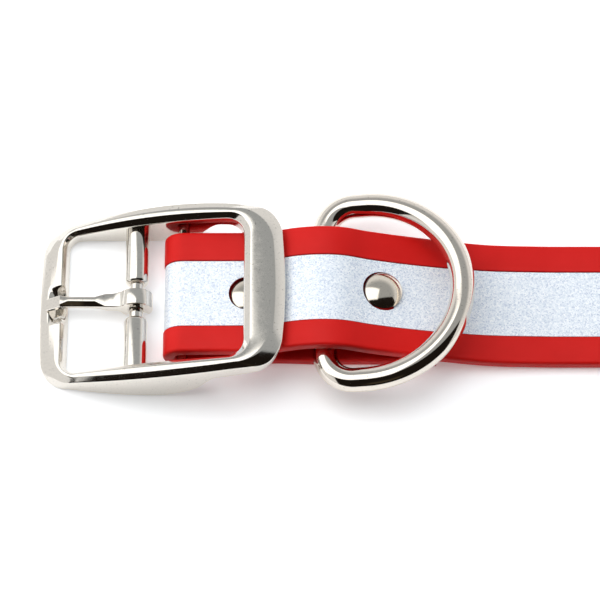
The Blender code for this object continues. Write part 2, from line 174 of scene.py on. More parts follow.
# The notch in the left bar for the tongue's tip.
NOTCH_HALF = 4.0
NOTCH_FLOOR_Z = 0.7
NOTCH_POWER = 3.0
NOTCH_REACH = 1.0

TONGUE_BAR = joint_place("tongue_hinge")
TONGUE_BAR_RADIUS = 2.4
TONGUE_BAR_SHOULDER = 0.9
WAIST_RADIUS = 1.4
WAIST_HALF = 3.7
BAR_HALF = 15.6
HOOK_INNER = WAIST_RADIUS + BAR_GAP
HOOK_OUTER = 3.35
HOOK_HALF = 1.7
HOOK_ARC = (-38.0, 228.0)
HOOK_STEPS = 64
HOOK_CUTS = (0.12, 0.25, 0.25, 0.12)
# Along the tongue, from its pin: reach, bottom, top, half width, near facet (width, drop), far
# facet (width, drop).
TONGUE_STATIONS = [(2.2, -0.95, 2.35, 1.70, (0.15, 0.15), (0.15, 0.15)),
                   (3.0, -0.95, 1.75, 1.68, (0.15, 0.15), (0.15, 0.15)),
                   (3.8, -0.90, 1.36, 1.62, (0.15, 0.15), (0.15, 0.15)),
                   (4.5, -0.85, 1.18, 1.54, (0.18, 0.18), (0.18, 0.18)),
                   (6.2, -0.80, 1.15, 1.48, (0.18, 0.18), (0.18, 0.18)),
                   (8.2, -0.65, 1.12, 1.08, (0.85, 0.88), (0.45, 0.50)),
                   (13.6, -0.60, 1.10, 1.05, (0.85, 0.88), (0.45, 0.50)),
                   (15.2, -0.72, 0.95, 1.22, (0.35, 0.50), (0.15, 0.20)),
                   (18.1, -1.75, -1.10, 1.25, (0.30, 0.35), (0.15, 0.20))]
TONGUE_ROUND = 0.12
TONGUE_SMOOTH = 22.0

# The D ring: a straight side on its joint, two round corners and half an ellipse.
RING_BAR = joint_place("ring_swing")
RING_WIRE = 4.85
RING_HALF = 19.0
RING_CORNER = 6.0
RING_ARC_FROM = 8.2
RING_LENGTH = 27.6
RING_TILT = 10.0
RING_STRAIGHT_HALF = 11.0
RING_STRAIGHT_POINTS = 23
RING_CORNER_STEPS = 18
RING_ARC_STEPS = 96
RING_SIDES = 40
RING_SMOOTH = 60.0

# Rivets: (name, middle of the cap's seat, lean, cap radius, dome, height of the back's seat).
RIVETS = [("rivet_1", (-66.5, 0.0, 6.95), -5.0, 3.25, 0.75, 1.05),
          ("rivet_2", (-39.6, 0.5, 7.35), 9.0, 3.85, 1.35, 0.95)]
# The foot of a cap or a back is its lower edge's chamfer: (inwards, upwards).
CAP_RIM = 0.35
CAP_FOOT = (0.12, 0.1)
DOME_STEPS = 16
CAP_SIDES = 72
CAP_SMOOTH = 50.0
POST_RADIUS = 1.2
SOCKET_RADIUS = 1.95
SOCKET_LENGTH = 2.0
BACK_RADIUS = 3.2
BACK_THICK = 0.4
BACK_FOOT = (0.15, 0.12)
BACK_TAPER = 0.3
BACK_SIDES = 48
SEAT_GAP = 0.3
SEAT_BELOW = 3.0
SEAT_ABOVE = 4.0

# The material slot of the strap's cut faces, which take the painted gap shadow.
CUT_FACES = 1


# ---- mesh helpers ------------------------------------------------------------------------------

def new_object(name, builder, smooth_angle):
    """An object from a bmesh: faces outwards, smooth but for edges sharper than the angle."""
    bmesh.ops.recalc_face_normals(builder, faces=builder.faces)
    if builder.calc_volume(signed=True) < 0:
        bmesh.ops.reverse_faces(builder, faces=builder.faces)
    mesh = bpy.data.meshes.new(name)
    builder.to_mesh(mesh)
    builder.free()
    mesh.shade_smooth()
    mesh.set_sharp_from_angle(angle=math.radians(smooth_angle))
    item = bpy.data.objects.new(name, mesh)
    bpy.context.scene.collection.objects.link(item)
    return item


def skin(name, sections, ring=False, smooth_angle=32.0):
    """A closed body over a row of equal sections; a ring joins its last section to its first."""
    builder = bmesh.new()
    rows = []
    for section in sections:
        rows.append([builder.verts.new(Vector(point) * MM) for point in section])
    pairs = list(zip(rows, rows[1:]))
    if ring:
        pairs.append((rows[-1], rows[0]))
    for row, following in pairs:
        for i in range(len(row)):
            j = (i + 1) % len(row)
            builder.faces.new((row[i], row[j], following[j], following[i]))
    if not ring:
        builder.faces.new(rows[0])
        builder.faces.new(rows[-1])
    return new_object(name, builder, smooth_angle)


def lathe(name, profile, steps=64, smooth_angle=32.0):
    """A closed turned body about local Z; the profile runs (radius, z) from axis to axis."""
    builder = bmesh.new()
    rings = []
    for radius, z in profile:
        if radius == 0:
            rings.append([builder.verts.new((0, 0, z * MM))])
            continue
        ring = []
        for i in range(steps):
            angle = 2 * math.pi * i / steps
            point = Vector((radius * math.cos(angle), radius * math.sin(angle), z))
            ring.append(builder.verts.new(point * MM))
        rings.append(ring)
    for lower, upper in zip(rings, rings[1:]):
        for i in range(steps):
            j = (i + 1) % steps
            corners = [lower[i % len(lower)], lower[j % len(lower)],
                       upper[j % len(upper)], upper[i % len(upper)]]
            builder.faces.new(list(dict.fromkeys(corners)))
    return new_object(name, builder, smooth_angle)


def combine(target, tools, operation):
    """Boolean with each tool in turn, applied, after which the tools are removed."""
    for tool in tools:
        modifier = target.modifiers.new(tool.name, "BOOLEAN")
        modifier.operation = operation
        modifier.object = tool
        modifier.solver = "EXACT"
    apply_modifiers(target)
    for tool in tools:
        bpy.data.objects.remove(tool)


def apply_modifiers(item):
    """Replace an object's mesh by what its modifiers make of it."""
    bpy.context.view_layer.update()
    evaluated = item.evaluated_get(bpy.context.evaluated_depsgraph_get())
    mesh = bpy.data.meshes.new_from_object(evaluated)
    item.modifiers.clear()
    item.data = mesh


def rounded(points, cuts, steps=3):
    """A closed outline with its corners rounded; each cut is the length taken off beside a corner."""
    count = len(points)
    outline = []
    for i, cut in enumerate(cuts):
        here = Vector(points[i])
        if cut == 0:
            outline.append(tuple(here))
            continue
        before, after = Vector(points[i - 1]) - here, Vector(points[(i + 1) % count]) - here
        start = here + before.normalized() * min(cut, 0.45 * before.length)
        end = here + after.normalized() * min(cut, 0.45 * after.length)
        for j in range(steps + 1):
            t = j / steps
            outline.append(tuple((1 - t) ** 2 * start + 2 * t * (1 - t) * here + t ** 2 * end))
    return outline


def smooth_curve(points, step):
    """Points about `step` apart on a smooth curve through the given (x, z) points."""
    first = tuple(2 * a - b for a, b in zip(points[0], points[1]))
    last = tuple(2 * a - b for a, b in zip(points[-1], points[-2]))
    padded = [first] + list(points) + [last]
    curve = [points[0]]
    for before, start, end, after in zip(padded, padded[1:], padded[2:], padded[3:]):
        pieces = max(1, round(math.dist(start, end) / step))
        for i in range(1, pieces + 1):
            t = i / pieces
            point = []
            for a, b, c, d in zip(before, start, end, after):
                slope = c - a
                square = 2 * a - 5 * b + 4 * c - d
                cube = 3 * (b - c) + d - a
                point.append(b + 0.5 * t * (slope + t * (square + t * cube)))
            curve.append(tuple(point))
    return curve


def smooth_step(value, low, high):
    """0 below low, 1 above high, and a smooth rise between."""
    t = min(1.0, max(0.0, (value - low) / (high - low)))
    return t * t * (3 - 2 * t)


# ---- materials ---------------------------------------------------------------------------------

class Nodes:
    """Short names for adding nodes to one material."""

    def __init__(self, name):
        self.material = bpy.data.materials.new(name)
        self.material.use_nodes = True
        self.tree = self.material.node_tree
        self.shader = self.tree.nodes["Principled BSDF"]
        self.place = self.add("ShaderNodeTexCoord").outputs["Object"]

    def add(self, kind):
        return self.tree.nodes.new(kind)

    def link(self, source, target):
        self.tree.links.new(source, target)

    def noise(self, scale, detail=3.0, roughness=0.5, stretch=None):
        node = self.add("ShaderNodeTexNoise")
        node.inputs["Scale"].default_value = scale
        node.inputs["Detail"].default_value = detail
        node.inputs["Roughness"].default_value = roughness
        if stretch:
            mapping = self.add("ShaderNodeMapping")
            mapping.inputs["Scale"].default_value = stretch
            self.link(self.place, mapping.inputs["Vector"])
            self.link(mapping.outputs["Vector"], node.inputs["Vector"])
        else:
            self.link(self.place, node.inputs["Vector"])
        return node.outputs["Fac"]

    def spread(self, source, low, high, to_low, to_high):
        """Map a source from low..high to to_low..to_high."""
        node = self.add("ShaderNodeMapRange")
        node.inputs["From Min"].default_value = low
        node.inputs["From Max"].default_value = high
        node.inputs["To Min"].default_value = to_low
        node.inputs["To Max"].default_value = to_high
        self.link(source, node.inputs["Value"])
        return node.outputs["Result"]

    def ramp(self, source, stops):
        """Colors by a source; each stop is (position, color)."""
        node = self.add("ShaderNodeValToRGB")
        elements = node.color_ramp.elements
        while len(elements) < len(stops):
            elements.new(0.5)
        for element, (position, color) in zip(elements, stops):
            element.position = position
            element.color = (*color, 1.0)
        self.link(source, node.inputs["Fac"])
        return node.outputs["Color"]

    def bump(self, layers):
        """Bumps one over another; each layer is (height source, depth in metres, strength)."""
        normal = None
        for source, depth, strength in layers:
            node = self.add("ShaderNodeBump")
            node.inputs["Distance"].default_value = depth
            node.inputs["Strength"].default_value = strength
            self.link(source, node.inputs["Height"])
            if normal:
                self.link(normal, node.inputs["Normal"])
            normal = node.outputs["Normal"]
        self.link(normal, self.shader.inputs["Normal"])


def nickel_material(name, tint, roughness, waviness):
    """Bright nickel plate over a cast or drawn surface: specks, slight waves and fine scratches."""
    nodes = Nodes(name)
    shader = nodes.shader
    shader.inputs["Metallic"].default_value = 1.0
    specks = nodes.noise(2400.0, 2.0)
    shares = [(0.27, 0.7), (0.34, 0.97), (0.6, 1.0)]
    stops = [(place, tuple(share * c for c in tint)) for place, share in shares]
    nodes.link(nodes.ramp(specks, stops), shader.inputs["Base Color"])
    wear = nodes.noise(900.0, 5.0, 0.65)
    haze = nodes.spread(wear, 0.3, 0.75, roughness * 0.7, roughness * 1.9)
    nodes.link(haze, shader.inputs["Roughness"])
    scratches = nodes.noise(1500.0, 2.0, 0.5, (1.0, 9.0, 1.0))
    waves = nodes.noise(330.0, 1.0)
    nodes.bump([(waves, waviness, 0.4), (scratches, 0.000004, 0.25)])
    return nodes.material


def coating_material():
    """Red polyurethane coating: satin, faintly mottled, with a fine grain."""
    nodes = Nodes("red_coating_satin")
    shader = nodes.shader
    mottle = nodes.noise(140.0, 5.0, 0.6)
    nodes.link(nodes.ramp(mottle, [(0.3, (0.57, 0.006, 0.004)), (0.7, (0.62, 0.008, 0.006))]),
               shader.inputs["Base Color"])
    grain = nodes.noise(2600.0, 3.0, 0.6)
    rub = nodes.noise(420.0, 4.0, 0.6, (0.35, 1.0, 1.0))
    nodes.link(nodes.spread(rub, 0.3, 0.7, 0.34, 0.52), shader.inputs["Roughness"])
    shader.inputs["Specular IOR Level"].default_value = 0.18
    nodes.bump([(rub, 0.00004, 0.35), (grain, 0.00002, 0.35)])
    return nodes.material


def stripe_material():
    """Reflective tape: a bed of tiny glass beads on a silvery blue ground."""
    nodes = Nodes("reflective_beads")
    shader = nodes.shader
    cells = nodes.add("ShaderNodeTexVoronoi")
    cells.inputs["Scale"].default_value = 4200.0
    nodes.link(nodes.place, cells.inputs["Vector"])
    split = nodes.add("ShaderNodeSeparateColor")
    nodes.link(cells.outputs["Color"], split.inputs["Color"])
    stops = [(0.0, (0.52, 0.58, 0.70)), (0.25, (0.70, 0.76, 0.83)), (0.7, (0.83, 0.87, 0.92)),
             (1.0, (0.95, 0.97, 0.99))]
    nodes.link(nodes.ramp(split.outputs["Red"], stops), shader.inputs["Base Color"])
    nodes.link(nodes.spread(split.outputs["Green"], 0.0, 1.0, 0.28, 0.6), shader.inputs["Roughness"])
    shader.inputs["Metallic"].default_value = 0.15
    nodes.bump([(cells.outputs["Distance"], 0.00004, 0.5)])
    return nodes.material


def webbing_material():
    """Plain-woven polyester core, dyed dark red."""
    nodes = Nodes("woven_core")
    shader = nodes.shader
    weave = nodes.add("ShaderNodeTexBrick")
    weave.inputs["Scale"].default_value = 900.0
    nodes.link(nodes.place, weave.inputs["Vector"])
    weave.inputs["Color1"].default_value = (0.30, 0.02, 0.02, 1)
    weave.inputs["Color2"].default_value = (0.22, 0.015, 0.015, 1)
    weave.inputs["Mortar"].default_value = (0.08, 0.004, 0.004, 1)
    nodes.link(weave.outputs["Color"], shader.inputs["Base Color"])
    shader.inputs["Roughness"].default_value = 0.9
    nodes.bump([(weave.outputs["Fac"], 0.0001, 0.6)])
    return nodes.material


def painted_gap_shadow_material():
    """Near-black painted shadow for the faces that the rivets' seats leave in the strap, standing in
    for the shade in the gap round each cap; dull.
    """
    nodes = Nodes("gap_shade_painted")
    grain = nodes.noise(1200.0, 3.0)
    nodes.link(nodes.ramp(grain, [(0.35, (0.012, 0.004, 0.003)), (0.65, (0.03, 0.008, 0.006))]),
               nodes.shader.inputs["Base Color"])
    nodes.shader.inputs["Roughness"].default_value = 0.8
    nodes.shader.inputs["Specular IOR Level"].default_value = 0.1
    return nodes.material


def finish_piece(piece, material, replaced, shadow_paint_material=None):
    """Give a piece its material, and a second one, here the painted gap shadow, to faces with the
    material index of CUT_FACES.
    """
    piece.data.materials.clear()
    piece.data.materials.append(material)
    if shadow_paint_material:
        piece.data.materials.append(shadow_paint_material)
    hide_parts(*replaced)


# ---- strap -------------------------------------------------------------------------------------

def strap_line():
    """The strap's middle line from the tail's cut end, round the strap bar, to the free tip."""
    fold = []
    for i in range(FOLD_STEPS + 1):
        angle = math.radians(-90 - 180 * i / FOLD_STEPS)
        across, up = FOLD_RADIUS * math.cos(angle), FOLD_RADIUS * math.sin(angle)
        fold.append((STRAP_BAR.x + across, STRAP_BAR.z + up))
    tail = smooth_curve(TAIL_LINE + [fold[0]], TAIL_STEP)
    top = smooth_curve([fold[-1]] + TOP_LINE + [(FLAT_FROM_X, RISE)], TOP_STEP)
    straight = []
    x = FLAT_FROM_X
    while x < FREE_END_X - STRAIGHT_STEP:
        x += STRAIGHT_STEP
        straight.append((x, RISE))
    return tail + fold[1:-1] + top + straight + [(FREE_END_X, RISE)]


def side_shift(x):
    """How far the strap lies over to the far side where it is folded and riveted."""
    return STRAP_SHIFT * (1 - smooth_step(x, *SHIFT_FADE))


def sweep(name, line, outline, overrun=0.0, smooth_angle=32.0):
    """Carry an outline of (y, height over the middle line) along a line in the XZ plane.

    The strap's edges move over to the far side; the stripe and its bed keep to the middle.
    """
    line = [Vector(point) for point in line]
    if overrun:
        line[0] = line[0] + (line[0] - line[1]).normalized() * overrun
        line[-1] = line[-1] + (line[-1] - line[-2]).normalized() * overrun
    sections = []
    for i, point in enumerate(line):
        along = (line[min(i + 1, len(line) - 1)] - line[max(i - 1, 0)]).normalized()
        out = Vector((-along.y, along.x))
        shift = side_shift(point.x)
        section = []
        for y, h in outline:
            over = shift if abs(y) > SHIFT_FROM else 0
            section.append((point.x + out.x * h, y + over, point.y + out.y * h))
        sections.append(section)
    return skin(name, sections, smooth_angle=smooth_angle)


def bed_height():
    """The floor of the stripe's bed, over the middle line."""
    return RISE - STRIPE_SUNK - STRIPE_THICK - LAYER_GAP


def coating_outline():
    """The coating's section, with the bed for the stripe and a groove on both sides of it."""
    half = STRAP_WIDTH / 2
    bed = STRIPE_WIDTH / 2 + STRIPE_GROOVE
    floor = bed_height()
    corners = [(-half, -RISE), (half, -RISE), (half, RISE), (bed, RISE),
               (bed, floor), (-bed, floor), (-bed, RISE), (-half, RISE)]
    cuts = [EDGE_RADIUS, EDGE_RADIUS, EDGE_RADIUS, SHOULDER,
            BED_CORNER, BED_CORNER, SHOULDER, EDGE_RADIUS]
    return rounded(corners, cuts, EDGE_STEPS)


def rectangle(half_width, low, high):
    """An outline for sweep, as wide on both sides of the middle."""
    return [(-half_width, low), (half_width, low), (half_width, high), (-half_width, high)]


def point_tool():
    """What is cut off to round the free end."""
    half = STRAP_WIDTH / 2
    beyond, beside = FREE_END_X + 4, half + 2
    steps = 36
    start = FREE_END_X - POINT_LENGTH
    outline = []
    for i in range(steps + 1):
        angle = math.radians(-90 + 180 * i / steps)
        outline.append((start + POINT_LENGTH * math.cos(angle), half * math.sin(angle)))
    outline += [(start, beside), (beyond, beside), (beyond, -beside), (start, -beside)]
    levels = (-CUT_OVERRUN, STRAP_THICK + CUT_OVERRUN)
    return skin("point_tool", [[(x, y, z) for x, y in outline] for z in levels])


def hole_tools(flare):
    """One tool for each hole in the free end; the flare is what it is wider by."""
    low, high = -CUT_OVERRUN, STRAP_THICK + CUT_OVERRUN
    radius = HOLE_RADIUS + flare
    tools = []
    for i in range(HOLE_COUNT):
        tool = lathe("hole_tool", [(0, low), (radius, low), (radius, high), (0, high)], HOLE_SIDES)
        tool.location.x = (FREE_END_X - HOLE_TO_TIP - i * HOLE_SPACING) * MM
        tools.append(tool)
    return tools


def rivet_tools():
    """Room for each rivet in the strap: a seat for the cap, a bore, and a seat for the back."""
    tools = []
    for name, seat, lean, cap_radius, _, back_seat in RIVETS:
        depth = seat[2] - back_seat
        bottom, ledge = -depth - SEAT_BELOW, -depth + BACK_THICK + SEAT_GAP
        room = SOCKET_RADIUS + SEAT_GAP
        cap_room, back_room = cap_radius + SEAT_GAP, BACK_RADIUS + SEAT_GAP
        profile = [(0, bottom), (back_room, bottom), (back_room, ledge), (room, ledge),
                   (room, -SEAT_GAP), (cap_room, -SEAT_GAP), (cap_room, SEAT_ABOVE), (0, SEAT_ABOVE)]
        tool = lathe(name + "_tool", profile)
        tool.matrix_world = rivet_place(seat, lean)
        # The seat's faces take the near-black painted shadow of the gap round the cap.
        mark_cut_faces(tool)
        tools.append(tool)
    return tools


def mark_cut_faces(tool):
    """Make the faces that a tool leaves behind take the second material, the painted gap shadow."""
    for face in tool.data.polygons:
        face.material_index = CUT_FACES


def add_slots(piece):
    """Two empty material slots, so that a boolean keeps each face's material index."""
    for _ in range(2):
        piece.data.materials.append(None)


def rivet_place(seat, lean):
    """A rivet's own axes: the origin in the cap's seat, Z out of the strap."""
    return Matrix.Translation(Vector(seat) * MM) @ Matrix.Rotation(math.radians(lean), 4, "Y")


def make_strap():
    """Coating, stripe and core of the whole strap, each one mesh."""
    line = strap_line()
    hollow_half = STRAP_WIDTH / 2 - CORE_EDGE
    hollow_floor, hollow_ceiling = COATING - RISE, bed_height() - COATING_UNDER_STRIPE
    hollow_outline = rectangle(hollow_half, hollow_floor, hollow_ceiling)
    core_floor, core_ceiling = hollow_floor + LAYER_GAP, hollow_ceiling - LAYER_GAP
    core_outline = rectangle(hollow_half - LAYER_GAP, core_floor, core_ceiling)
    stripe_top = RISE - STRIPE_SUNK
    stripe_outline = rectangle(STRIPE_WIDTH / 2, stripe_top - STRIPE_THICK, stripe_top)

    coating = sweep("collar_coating", line, coating_outline(), smooth_angle=STRAP_SMOOTH)
    hollow = sweep("hollow_tool", line, hollow_outline, CUT_OVERRUN)
    core = sweep("collar_core", line, core_outline)
    stripe = sweep("collar_stripe", line, stripe_outline)
    cuts = [(coating, [hollow], 0.0), (core, [], HOLE_FLARE), (stripe, [], HOLE_FLARE)]
    for piece, inside, flare in cuts:
        add_slots(piece)
        combine(piece, inside + rivet_tools() + [point_tool()] + hole_tools(flare), "DIFFERENCE")
        piece.data.shade_smooth()
        piece.data.set_sharp_from_angle(angle=math.radians(STRAP_SMOOTH))

    # Near-black painted shadow on the rivet seats' faces in coating, core and stripe.
    gap_shadow_paint = painted_gap_shadow_material()
    finish_piece(coating, coating_material(),
                 ["strap_coating", "free_strap_coating"], gap_shadow_paint)
    finish_piece(core, webbing_material(),
                 ["strap_core", "free_strap_core"], gap_shadow_paint)
    finish_piece(stripe, stripe_material(),
                 ["strap_stripe", "free_strap_stripe"], gap_shadow_paint)
    for piece in (coating, core, stripe):
        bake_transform(piece)


# ---- buckle ------------------------------------------------------------------------------------

def arch_height(x):
    """The inner lip's height without the notch: an arch over the bars, level over the left one."""
    arch = LIP_Z + LIP_SLOPE * (x - LIP_X) - LIP_BEND * (x - LIP_X) ** 2
    return 0.5 * (arch + LEFT_BAR_LIP_Z + math.hypot(arch - LEFT_BAR_LIP_Z, LIP_BLEND))


def inner_lip_height(x, y):
    return notched(x, y, arch_height(x))


def crest_height(x, y):
    """The crest's height; over the left bar it leans a little, higher on the inner side."""
    fade = 1 - smooth_step(x, INNER_CREST[0], INNER_CREST[0] + CREST_LEAN_FADE)
    lean = LEFT_CREST_LEAN * max(0.0, x - OUTER_CREST[0]) * fade
    return notched(x, y, arch_height(x) + BEVEL_RISE + lean)


def outer_lip_height(x, y):
    """The outer lip's height, the same all the way across."""
    drop = OUTER_DROP + (RIGHT_DROP - OUTER_DROP) * smooth_step(x, *DROP_STEP)
    return arch_height(x) + BEVEL_RISE - drop


def notched(x, y, plain):
    """The left bar dips in the middle, where the tongue's tip lies."""
    across = abs(y) / NOTCH_HALF
    if x > INNER_LIP[0] + NOTCH_REACH or across >= 1:
        return plain
    return plain + (min(plain, NOTCH_FLOOR_Z) - plain) * (1 - across ** NOTCH_POWER)


def foot_height(x, y):
    """The lower edge: skirts down to the table on the left, and rails that end high on the right."""
    skirt = SKIRT_BEND * max(0.0, x - SKIRT_FLAT_TO) ** 2
    rail = RAIL_FOOT_Z + RAIL_FOOT_BEND * (x - SKIRT_STEP[1]) ** 2
    blend = smooth_step(x, *SKIRT_STEP)
    return (1 - blend) * skirt + blend * rail


def frame_loop(shape, height):
    """One closed loop round the buckle: right bar, far side, left bar, near side."""
    left, right, half, bow, left_corner, right_corner, left_bow, right_bow = shape
    middle = (left + right) / 2

    def side(x):
        return half - bow * (x - middle) ** 2

    def bent(x, y):
        end_bow = left_bow if x < middle else -right_bow
        share = ((x - middle) / (right - middle)) ** END_BOW_POWER
        return x + share * end_bow * min(abs(y), END_BOW_TO) ** 2

    def corner(x, y, radius, start):
        arc = []
        for i in range(CORNER_STEPS + 1):
            angle = math.radians(start + 90 * i / CORNER_STEPS)
            arc.append((x + radius * math.cos(angle), y + radius * math.sin(angle)))
        return arc

    right_x, left_x = right - right_corner, left + left_corner
    right_y, left_y = side(right_x) - right_corner, side(left_x) - left_corner
    flat = corner(right_x, right_y, right_corner, 0)
    for i in range(1, SIDE_STEPS):
        x = right_x + (left_x - right_x) * i / SIDE_STEPS
        flat.append((x, side(x)))
    flat += corner(left_x, left_y, left_corner, 90)
    for i in range(1, END_STEPS):
        flat.append((left, left_y - 2 * left_y * i / END_STEPS))
    flat += corner(left_x, -left_y, left_corner, 180)
    for i in range(1, SIDE_STEPS):
        x = left_x + (right_x - left_x) * i / SIDE_STEPS
        flat.append((x, -side(x)))
    flat += corner(right_x, -right_y, right_corner, 270)
    for i in range(1, END_STEPS):
        flat.append((right, -right_y + 2 * right_y * i / END_STEPS))
    return [(bent(x, y), y, height(bent(x, y), y)) for x, y in flat]


def cross_bar(name, place, profile):
    """A turned bar across the buckle; the profile runs (radius, y)."""
    bar = lathe(name, profile)
    bar.rotation_euler.x = math.radians(-90)
    bar.location = (place.x * MM, 0, place.z * MM)
    return bar


def quarter(center_radius, center_z, radius, start, end, steps=6):
    """Arc points (radius, z) for a lathe profile, angles in degrees."""
    arc = []
    for i in range(steps + 1):
        angle = math.radians(start + (end - start) * i / steps)
        arc.append((center_radius + radius * math.cos(angle), center_z + radius * math.sin(angle)))
    return arc


def crowned(inner, outer):
    """Points over the slightly domed crest, between its two edges."""
    rise = CROWN_SHARE * (outer - inner).length
    points = []
    for i in range(1, CROWN_STEPS):
        t = i / CROWN_STEPS
        points.append(tuple(inner.lerp(outer, t) + Vector((0, 0, 4 * rise * t * (1 - t)))))
    return points


def tongue_bar_profile():
    """The tongue bar's profile: thick halves with round shoulders, and a waist for the hook."""
    shoulder = TONGUE_BAR_SHOULDER
    upper = [(WAIST_RADIUS, WAIST_HALF)]
    upper += quarter(TONGUE_BAR_RADIUS - shoulder, WAIST_HALF + shoulder, shoulder, -90, 0)
    upper.append((TONGUE_BAR_RADIUS, BAR_HALF))
    lower = [(radius, -y) for radius, y in reversed(upper)]
    return [(0, -BAR_HALF)] + lower + upper + [(0, BAR_HALF)]


def make_buckle(metal):
    """The casting: six loops round the opening, a crown between the crests, and two bars across."""
    loops = [frame_loop(INNER_FOOT, foot_height), frame_loop(INNER_LIP, inner_lip_height),
             frame_loop(INNER_CREST, crest_height), frame_loop(OUTER_CREST, crest_height),
             frame_loop(OUTER_LIP, outer_lip_height), frame_loop(OUTER_FOOT, foot_height)]
    cuts = EDGE_CUTS[:3] + (0,) * (CROWN_STEPS - 1) + EDGE_CUTS[3:]
    sections = []
    for corners in zip(*loops):
        crown = crowned(Vector(corners[2]), Vector(corners[3]))
        outline = list(corners[:3]) + crown + list(corners[3:])
        sections.append(rounded(outline, cuts, CASTING_EDGE_STEPS))
    casting = skin("buckle_casting", sections, ring=True, smooth_angle=CASTING_SMOOTH)
    tongue_bar = cross_bar("tongue_bar_tool", TONGUE_BAR, tongue_bar_profile())
    radius = STRAP_BAR_RADIUS
    profile = [(0, -BAR_HALF), (radius, -BAR_HALF), (radius, BAR_HALF), (0, BAR_HALF)]
    strap_bar = cross_bar("strap_bar_tool", STRAP_BAR, profile)
    combine(casting, [tongue_bar, strap_bar], "UNION")
    casting.data.set_sharp_from_angle(angle=math.radians(CASTING_SMOOTH))
    finish_piece(casting, metal, ["buckle_frame"])
    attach(casting, "buckle")


def make_tongue(metal):
    """The tongue: a hook bent round the waist of its bar, and a faceted shank with a bent tip."""
    start, end = HOOK_ARC
    outline = rounded([(HOOK_INNER, -HOOK_HALF), (HOOK_OUTER, -HOOK_HALF),
                       (HOOK_OUTER, HOOK_HALF), (HOOK_INNER, HOOK_HALF)], HOOK_CUTS)
    sections = []
    for i in range(HOOK_STEPS + 1):
        angle = math.radians(start + (end - start) * i / HOOK_STEPS)
        sections.append([(r * math.cos(angle), y, r * math.sin(angle)) for r, y in outline])
    tongue = skin("buckle_tongue", sections)
    sections = []
    for reach, bottom, top, half, near, far in TONGUE_STATIONS:
        corners = [(-half, bottom), (half, bottom), (half, top - far[1]), (half - far[0], top),
                   (near[0] - half, top), (-half, top - near[1])]
        sections.append([(-reach, y, z) for y, z in rounded(corners, [TONGUE_ROUND] * 6)])
    shank = skin("shank_tool", sections)
    place = TONGUE_BAR * MM
    tongue.location = place
    shank.location = place
    combine(tongue, [shank], "UNION")
    tongue.data.set_sharp_from_angle(angle=math.radians(TONGUE_SMOOTH))
    finish_piece(tongue, metal, ["tongue"])
    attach(tongue, "tongue")


# ---- D ring ------------------------------------------------------------------------------------

def ring_line():
    """The wire's middle line in the ring's own plane, from its straight side round the arc."""
    reach = RING_STRAIGHT_HALF
    line = [(0.0, y) for y in np.linspace(-reach, reach, RING_STRAIGHT_POINTS)]
    corner_y = RING_HALF - RING_CORNER

    def arc(center, radii, start, end, steps):
        for i in range(steps + 1):
            angle = math.radians(start + (end - start) * i / steps)
            out, across = radii[0] * math.cos(angle), radii[1] * math.sin(angle)
            line.append((center[0] + out, center[1] + across))

    arc((RING_CORNER, corner_y), (RING_CORNER, RING_CORNER), 180, 90, RING_CORNER_STEPS)
    arc((RING_ARC_FROM, 0), (RING_LENGTH - RING_ARC_FROM, RING_HALF), 90, -90, RING_ARC_STEPS)
    arc((RING_CORNER, -corner_y), (RING_CORNER, RING_CORNER), -90, -180, RING_CORNER_STEPS)
    return line


def make_ring(metal):
    line = ring_line()
    sections = []
    for i, point in enumerate(line):
        along = (Vector(line[(i + 1) % len(line)]) - Vector(line[i - 1])).normalized()
        section = []
        for j in range(RING_SIDES):
            angle = 2 * math.pi * j / RING_SIDES
            out = math.cos(angle) * RING_WIRE / 2
            up = math.sin(angle) * RING_WIRE / 2
            section.append((point[0] + along.y * out, point[1] - along.x * out, up))
        sections.append(section)
    ring = skin("lead_ring", sections, ring=True, smooth_angle=RING_SMOOTH)
    ring.location = RING_BAR * MM
    ring.rotation_euler.y = math.radians(-RING_TILT)
    finish_piece(ring, metal, ["d_ring"])
    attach(ring, "ring")


# ---- rivets ------------------------------------------------------------------------------------

def dome_arc(radius, rise):
    """The round top of a cap, from its rim towards its axis."""
    sphere = (radius ** 2 + rise ** 2) / (2 * rise)
    arc = []
    for i in range(DOME_STEPS):
        angle = math.asin(radius / sphere) * (1 - i / DOME_STEPS)
        height = CAP_RIM + rise - sphere * (1 - math.cos(angle))
        arc.append((sphere * math.sin(angle), height))
    return arc


def cap_profile(radius, dome, post_end):
    """A cap with its post, from the post's end to the top of the dome."""
    chamfer, foot = CAP_FOOT
    rim = [(POST_RADIUS, post_end), (POST_RADIUS, 0), (radius - chamfer, 0), (radius, foot)]
    return [(0, post_end)] + rim + dome_arc(radius, dome) + [(0, CAP_RIM + dome)]


def back_profile(bottom):
    """A back with its socket, from its flat underside to the floor of the socket."""
    chamfer, foot = BACK_FOOT
    disc_top, socket_top = bottom + BACK_THICK, bottom + SOCKET_LENGTH
    bore = POST_RADIUS + SEAT_GAP
    return [(0, bottom), (BACK_RADIUS - chamfer, bottom), (BACK_RADIUS, bottom + foot),
            (BACK_RADIUS - BACK_TAPER, disc_top), (SOCKET_RADIUS, disc_top),
            (SOCKET_RADIUS, socket_top), (bore, socket_top), (bore, disc_top), (0, disc_top)]


def make_rivets(metal):
    for name, seat, lean, cap_radius, dome, back_seat in RIVETS:
        bottom = back_seat - seat[2]
        post_end = bottom + BACK_THICK + SEAT_GAP
        cap = lathe(name + "_dome", cap_profile(cap_radius, dome, post_end), CAP_SIDES, CAP_SMOOTH)
        back = lathe(name + "_socket", back_profile(bottom), BACK_SIDES)
        for piece, node in ((cap, name + "_cap"), (back, name + "_back")):
            piece.matrix_world = rivet_place(seat, lean)
            finish_piece(piece, metal, [node])
            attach(piece, "strap")


# ---- stage, light and camera -------------------------------------------------------------------

